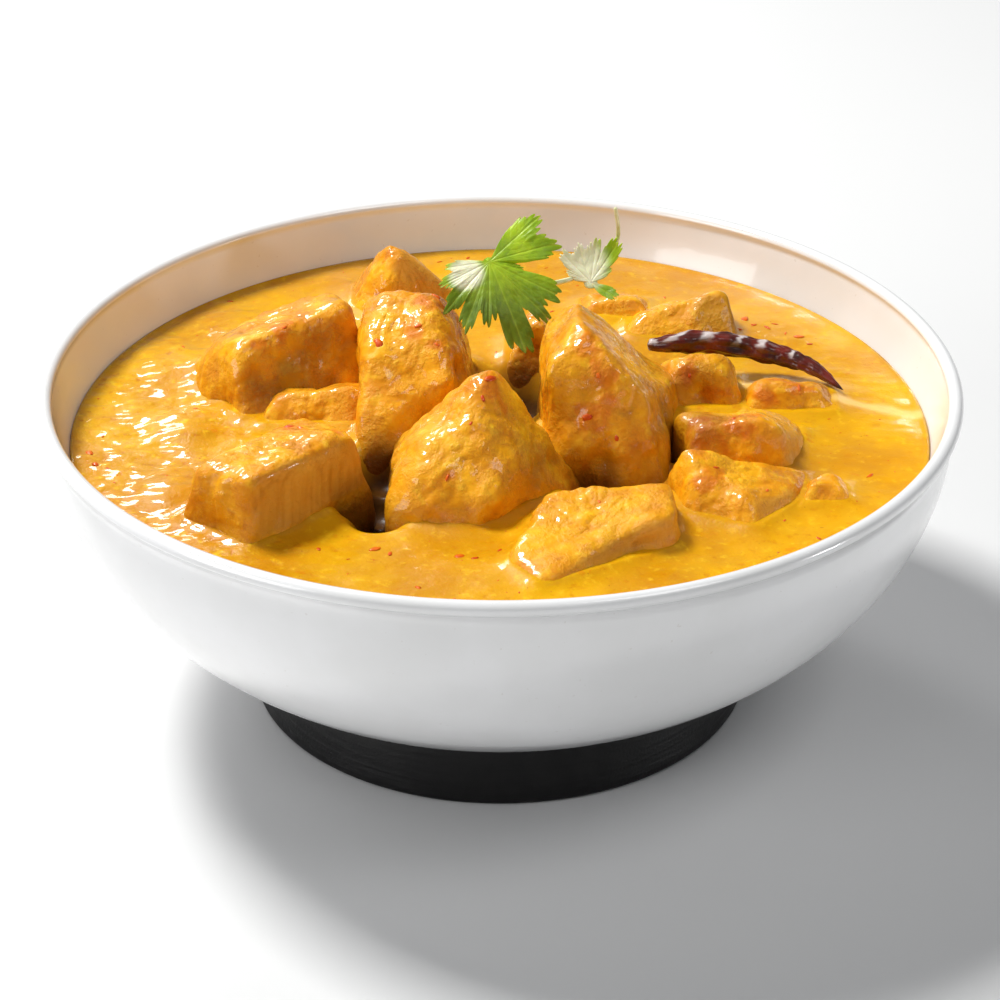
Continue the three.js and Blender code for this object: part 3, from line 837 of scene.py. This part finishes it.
def leaf_piece(name, hub, lean, curl, lobes, web, sheen_spot, turns=720, rows=40):
    """A blade as a closed skin: out over the front from the hub, round the edge and back.

    Its bearings and lobes lie in its own plane, which is bent by curl, ruffled by noise, raised
    along each lobe's midrib, and then leaned back from upright by lean degrees at the hub.
    """
    bearing = np.linspace(0, 360, turns, endpoint=False)
    edge = leaf_reach(bearing, lobes, web)
    part = np.concatenate([np.linspace(0, 1, rows), np.linspace(1, 0, rows)])[:, None]
    face = np.repeat([1.0, -1.0], rows)[:, None]
    angle = np.radians(bearing)[None]
    x, y = part * edge * np.cos(angle), part * edge * np.sin(angle)
    vein = np.zeros_like(x)
    fold = np.zeros_like(x)
    lead = np.zeros_like(x)
    for direction, length, half_width in lobes:
        turn = (bearing[None] - direction + 180) % 360 - 180
        aside = np.abs(np.sin(np.radians(turn))) * part * edge
        ahead = np.cos(np.radians(turn)) * part * edge
        vein = np.maximum(vein, np.exp(-(aside / 0.22) ** 2) * (ahead > 0))
        branch = np.abs(((ahead - 1.1 * aside) / 2.6) % 1 - 0.5)
        vein = np.maximum(vein, 0.6 * np.exp(-(branch / 0.07) ** 2) * (np.abs(turn) < half_width))
        own = np.clip(1 - (turn / half_width) ** 2, 0, 1) * length
        fold = np.where(own > lead, 0.08 * np.minimum(aside, 2.5), fold)
        lead = np.maximum(lead, own)
    flat = np.stack([x, y, 0 * x], axis=-1)
    ruffle = 1.5 * part ** 2 * lumps(flat + hub[0], 8) + 0.12 * lumps(flat, 1.8)
    z = curl[0] * x ** 2 + curl[1] * y ** 2 + ruffle + fold - 0.09 * vein * face
    # A pale patch where the blade folds: painted sheen over the paler underside.
    spot_x, spot_y, spot_width = sheen_spot
    pale = np.exp(-(np.hypot(x - spot_x, y - spot_y) / spot_width) ** 8)
    z = z + face * blade_thickness / 2 * np.sqrt(np.clip(1 - part ** 6, 0.02, 1))
    # Painted shade: the lower lobes, which tip away from the key lamp, get a darker green.
    shade = np.clip((-y - 1) / 10, 0, 1)
    tip = radians(90 - lean)
    y, z = y * cos(tip) - z * sin(tip), y * sin(tip) + z * cos(tip)
    points = np.stack([x, y, z], axis=-1) + hub
    piece = skin(name, points)
    keep_values(piece, points, vein=vein, pale=pale, shade=shade)
    return piece


leaf, tree, shader, place = new_finish(
    "coriander_leaf", Coat_Weight=0.12, Coat_Roughness=0.25, Specular_IOR_Level=0.3,
    Subsurface_Weight=0.2, Subsurface_Radius=(0.6, 1.0, 0.1), Subsurface_Scale=0.001)
vein = attribute(tree, "vein")
patch = noise(tree, place, 6, detail=3)
colour = patch.band(0.35, 0.65).blend((128, 162, 4), (164, 192, 14))
# Painted shade on the lower lobes.
colour = (0.85 * attribute(tree, "shade")).blend(colour, (76, 98, 0))
colour = (0.2 * vein).blend(colour, (188, 208, 70))
# Painted sheen over the paler underside at the fold.
colour = (0.9 * attribute(tree, "pale")).blend(colour, (236, 236, 206))
feed(tree, shader,
     Base_Color=colour,
     Roughness=0.46 + 0.15 * patch,
     Normal=relief(tree, noise(tree, place, 0.7), 0.06))

leaf_one = leaf_piece(
    "coriander_blade_1", hub=(-2.4, 18.1, 92.7), lean=48, curl=(-0.008, -0.006),
    lobes=[(46, 16.5, 20), (19, 17, 18), (-26, 18.5, 15), (-44, 19, 15), (-68, 23, 15),
           (-90, 15.5, 14), (-109, 17.5, 13), (-130, 15.5, 14), (-152, 12.5, 16),
           (-172, 10, 16)], web=(-90, 11.5, 105), sheen_spot=(-5.0, -2.8, 3.9))
finish_piece(leaf_one, leaf, "leaf", "coriander_leaf_1")
leaf_two = leaf_piece(
    "coriander_blade_2", hub=(20.5, 30, 82.5), lean=48, curl=(0.012, 0.012),
    lobes=[(56, 12, 18), (82, 10.5, 16), (108, 9.5, 18), (134, 10, 18), (-36, 7.5, 24)],
    web=(95, 8.5, 80), sheen_spot=(-2.5, 4.0, 6.5), turns=480, rows=28)
finish_piece(leaf_two, leaf, "leaf", "coriander_leaf_2")

stem_route = np.array([(2, 21.5, 86), (11, 28, 83), (19.5, 33.5, 83.5), (26.4, 37.6, 89),
                       (26, 36, 98.3)], dtype=float)
route, tangent = smooth_route(stem_route, 120)
along = np.linspace(0, 1, 120)[:, None]
ribs = 1 + 0.08 * np.cos(5 * np.linspace(0, 2 * pi, 30, endpoint=False))[None]
closing = np.sqrt(np.clip(np.minimum(along, 1 - along) / 0.01, 0, 1))
stem_radius = 0.6 * (1 - 0.3 * along) * ribs * closing      # thinner to the far end
stem = skin("coriander_stalk", carry(route, tangent, np.maximum(stem_radius, 0.005), 30))
stalk, tree, shader, place = new_finish("coriander_stalk", Roughness=0.4)
feed(tree, shader,
     Base_Color=noise(tree, place, 3).band(0.3, 0.7).blend((196, 206, 120), (236, 238, 200)),
     Normal=relief(tree, noise(tree, place, 0.5), 0.05))
finish_piece(stem, stalk, "stem", "coriander_stem")


# ---------------------------------------------------------------------------------------------
# Flecks: crumbs of red chilli and tomato skin that float on the sauce and stick to the meat.
# ---------------------------------------------------------------------------------------------

def flecks_piece(name, places, facing, sizes, seed):
    """Flattened, uneven pebbles, all in one mesh: a small grid carried to each place."""
    rng = np.random.default_rng(seed)
    rows, columns = 6, 9
    rise = np.linspace(-pi / 2, pi / 2, rows)
    turn = np.linspace(0, 2 * pi, columns, endpoint=False)
    ball = np.stack([np.cos(rise)[:, None] * np.cos(turn), np.cos(rise)[:, None] * np.sin(turn),
                     np.sin(rise)[:, None] + 0 * turn], axis=-1)
    count = len(places)
    spin = rng.uniform(0, 2 * pi, count)
    aim = np.stack([np.cos(spin), np.sin(spin), np.full(count, 0.01)], axis=-1)
    across = np.cross(facing, aim)
    across /= np.linalg.norm(across, axis=-1, keepdims=True)
    other = np.cross(facing, across)
    sizes = sizes[:, None]
    slim = rng.uniform(0.3, 0.7, (count, 1))
    basis = np.stack([across * sizes, other * sizes * slim, facing * sizes * 0.2], axis=1)
    wobble = rng.uniform(0.8, 1.2, (count, rows, columns, 1))
    points = np.einsum("rck,nkd->nrcd", ball, basis) * wobble + places[:, None, None]
    one = grid_triangles(rows, columns)
    step = rows * columns * np.arange(count)
    triangles = (one[None] + step[:, None, None]).reshape(-1, 3)
    return mesh_piece(name, points.reshape(-1, 3), triangles)


# The larger flecks on the sauce: x, y, half-length. The rest are strewn at random.
FLOATING = [(-25, -56, 1.3), (-22, -58, 0.9), (-8, -59, 1.2), (-5, -60, 0.8), (0, -57, 0.7),
            (78, -25, 1.2), (58, 52, 1.3), (60, 49, 1.0), (63, 48, 1.2), (67, 45, 0.9),
            (70, 43, 1.3), (72, 39, 0.8), (56, 45, 1.0), (65, 50, 0.9), (-15, 86, 0.8),
            (-8, 89, 0.7), (-65, 63, 0.8), (-88, -15, 1.2), (-86, -20, 1.0), (-16, -71, 0.7)]
# Flecks stuck to a piece of chicken: piece, bearing, tilt, half-length.
STUCK = [(14, -120, 50, 1.5), (14, -66, 64, 0.9), (14, 24, 68, 1.4), (14, -56, 46, 0.8),
         (2, 14, 78, 1.5), (2, -56, 76, 0.9), (2, -104, 20, 0.9), (2, -90, 58, 0.6),
         (3, -110, 18, 1.3), (3, -104, 46, 0.7), (3, -88, 5, 0.9), (1, 80, 40, 1.3),
         (1, 64, 46, 1.0), (5, -34, 28, 0.6), (5, -176, 64, 0.8), (7, -138, 72, 1.0),
         (8, -70, 64, 0.9), (9, -116, 56, 0.7), (12, -76, 58, 0.7), (4, 48, 78, 0.6)]
STREWN = 150                        # small flecks at random places
rng = np.random.default_rng(5)
strewn = rng.uniform(-1, 1, (900, 2)) * sauce_edge
clear = near_chicken(np.column_stack([strewn, np.full(len(strewn), sauce_level)])) > 1.0
strewn = strewn[clear & (np.hypot(*strewn.T) < sauce_edge - 3)][:STREWN]
strewn = np.column_stack([strewn, 0.2 + 0.5 * rng.random(len(strewn)) ** 3])
floating = np.concatenate([FLOATING, strewn])
height = sauce_level + sauce_height(floating[:, 0], floating[:, 1])[0]
places = [*np.column_stack([floating[:, :2], height])]
facing = [np.array([0, 0, 1.0])] * len(floating)
sizes = [*floating[:, 2]]
for number, bearing, tilt, size in STUCK:
    rays, points, face_normal = surface[number]
    nearest = np.unravel_index(degrees_off(rays, bearing, tilt).argmin(), rays.shape[:2])
    places.append(points[nearest])
    facing.append(face_normal[nearest] / np.linalg.norm(face_normal[nearest]))
    sizes.append(size)
flecks = flecks_piece("red_flecks", np.array(places), np.array(facing), np.array(sizes), seed=8)
red, tree, shader, place = new_finish("red_fleck", Coat_Weight=0.2, Specular_IOR_Level=0.3)
feed(tree, shader,
     Base_Color=noise(tree, place, 4).band(0.35, 0.65).blend((200, 66, 0), (228, 108, 0)),
     Roughness=0.35 + 0.1 * noise(tree, place, 1))
finish_piece(flecks, red, "sauce")


# ---------------------------------------------------------------------------------------------
# The table, lamps and camera: a plain pale table, a small strong lamp high at the left and a
# little behind, weaker ones at both sides and behind, and the view down over the bowl's front.
# ---------------------------------------------------------------------------------------------

table_mesh = bpy.data.meshes.new("table")
table_mesh.from_pydata([(-4, -4, 0), (4, -4, 0), (4, 4, 0), (-4, 4, 0)], [], [(0, 1, 2, 3)])
table = bpy.data.objects.new("table", table_mesh)
bpy.context.scene.collection.objects.link(table)
pale, tree, shader, place = new_finish("pale_table", Roughness=0.9, Specular_IOR_Level=0.1)
feed(tree, shader, Base_Color=noise(tree, place, 300).blend((216, 216, 217), (220, 220, 220)))
table_mesh.materials.append(pale)

world = bpy.data.worlds.new("studio")
world.use_nodes = True
world.node_tree.nodes["Background"].inputs["Color"].default_value = (0.93, 0.97, 1, 1)
world.node_tree.nodes["Background"].inputs["Strength"].default_value = 0.145
bpy.context.scene.world = world


def lamp(name, place, aim, size, power, colour=(1, 1, 1)):
    """A square area lamp at a place in metres, turned to face its aim."""
    data = bpy.data.lights.new(name, "AREA")
    data.shape = "SQUARE"
    data.size = size
    data.energy = power
    data.color = colour
    lamp_object = bpy.data.objects.new(name, data)
    run = np.subtract(aim, place)
    dip = np.arctan2(-run[2], np.hypot(run[0], run[1]))
    lamp_object.location = place
    lamp_object.rotation_euler = (pi / 2 - dip, 0, np.arctan2(run[1], run[0]) - pi / 2)
    bpy.context.scene.collection.objects.link(lamp_object)


lamp("key", (-0.63, 0.44, 1.23), (0, 0, 0.06), 0.32, 23.5, (1.0, 1.0, 0.98))
lamp("left_fill", (-1.45, -0.85, 0.5), (0, 0, 0.04), 0.9, 12)
lamp("right_low", (1.15, -0.3, 0.1), (0, 0, 0.03), 0.16, 2.4)
lamp("right_fill", (0.6, -0.45, 1.25), (0, 0, 0.06), 0.5, 3.2)
lamp("back_gloss", (-0.5, 1.2, 0.78), (0, 0, 0.06), 0.3, 5)

view_height = 29.0                  # degrees above level
view_distance = 0.574
aim_height = 0.0429
view_angle = 22.0                   # across the square picture
camera_data = bpy.data.cameras.new("camera")
camera_data.sensor_width = 36
camera_data.lens = camera_data.sensor_width / 2 / tan(radians(view_angle / 2))
camera_data.clip_end = 20
camera = bpy.data.objects.new("camera", camera_data)
camera.location = (0, -view_distance * cos(radians(view_height)),
                   aim_height + view_distance * sin(radians(view_height)))
camera.rotation_euler = (radians(90 - view_height), 0, 0)
bpy.context.scene.collection.objects.link(camera)
bpy.context.scene.camera = camera
bpy.context.scene.view_settings.view_transform = "Standard"
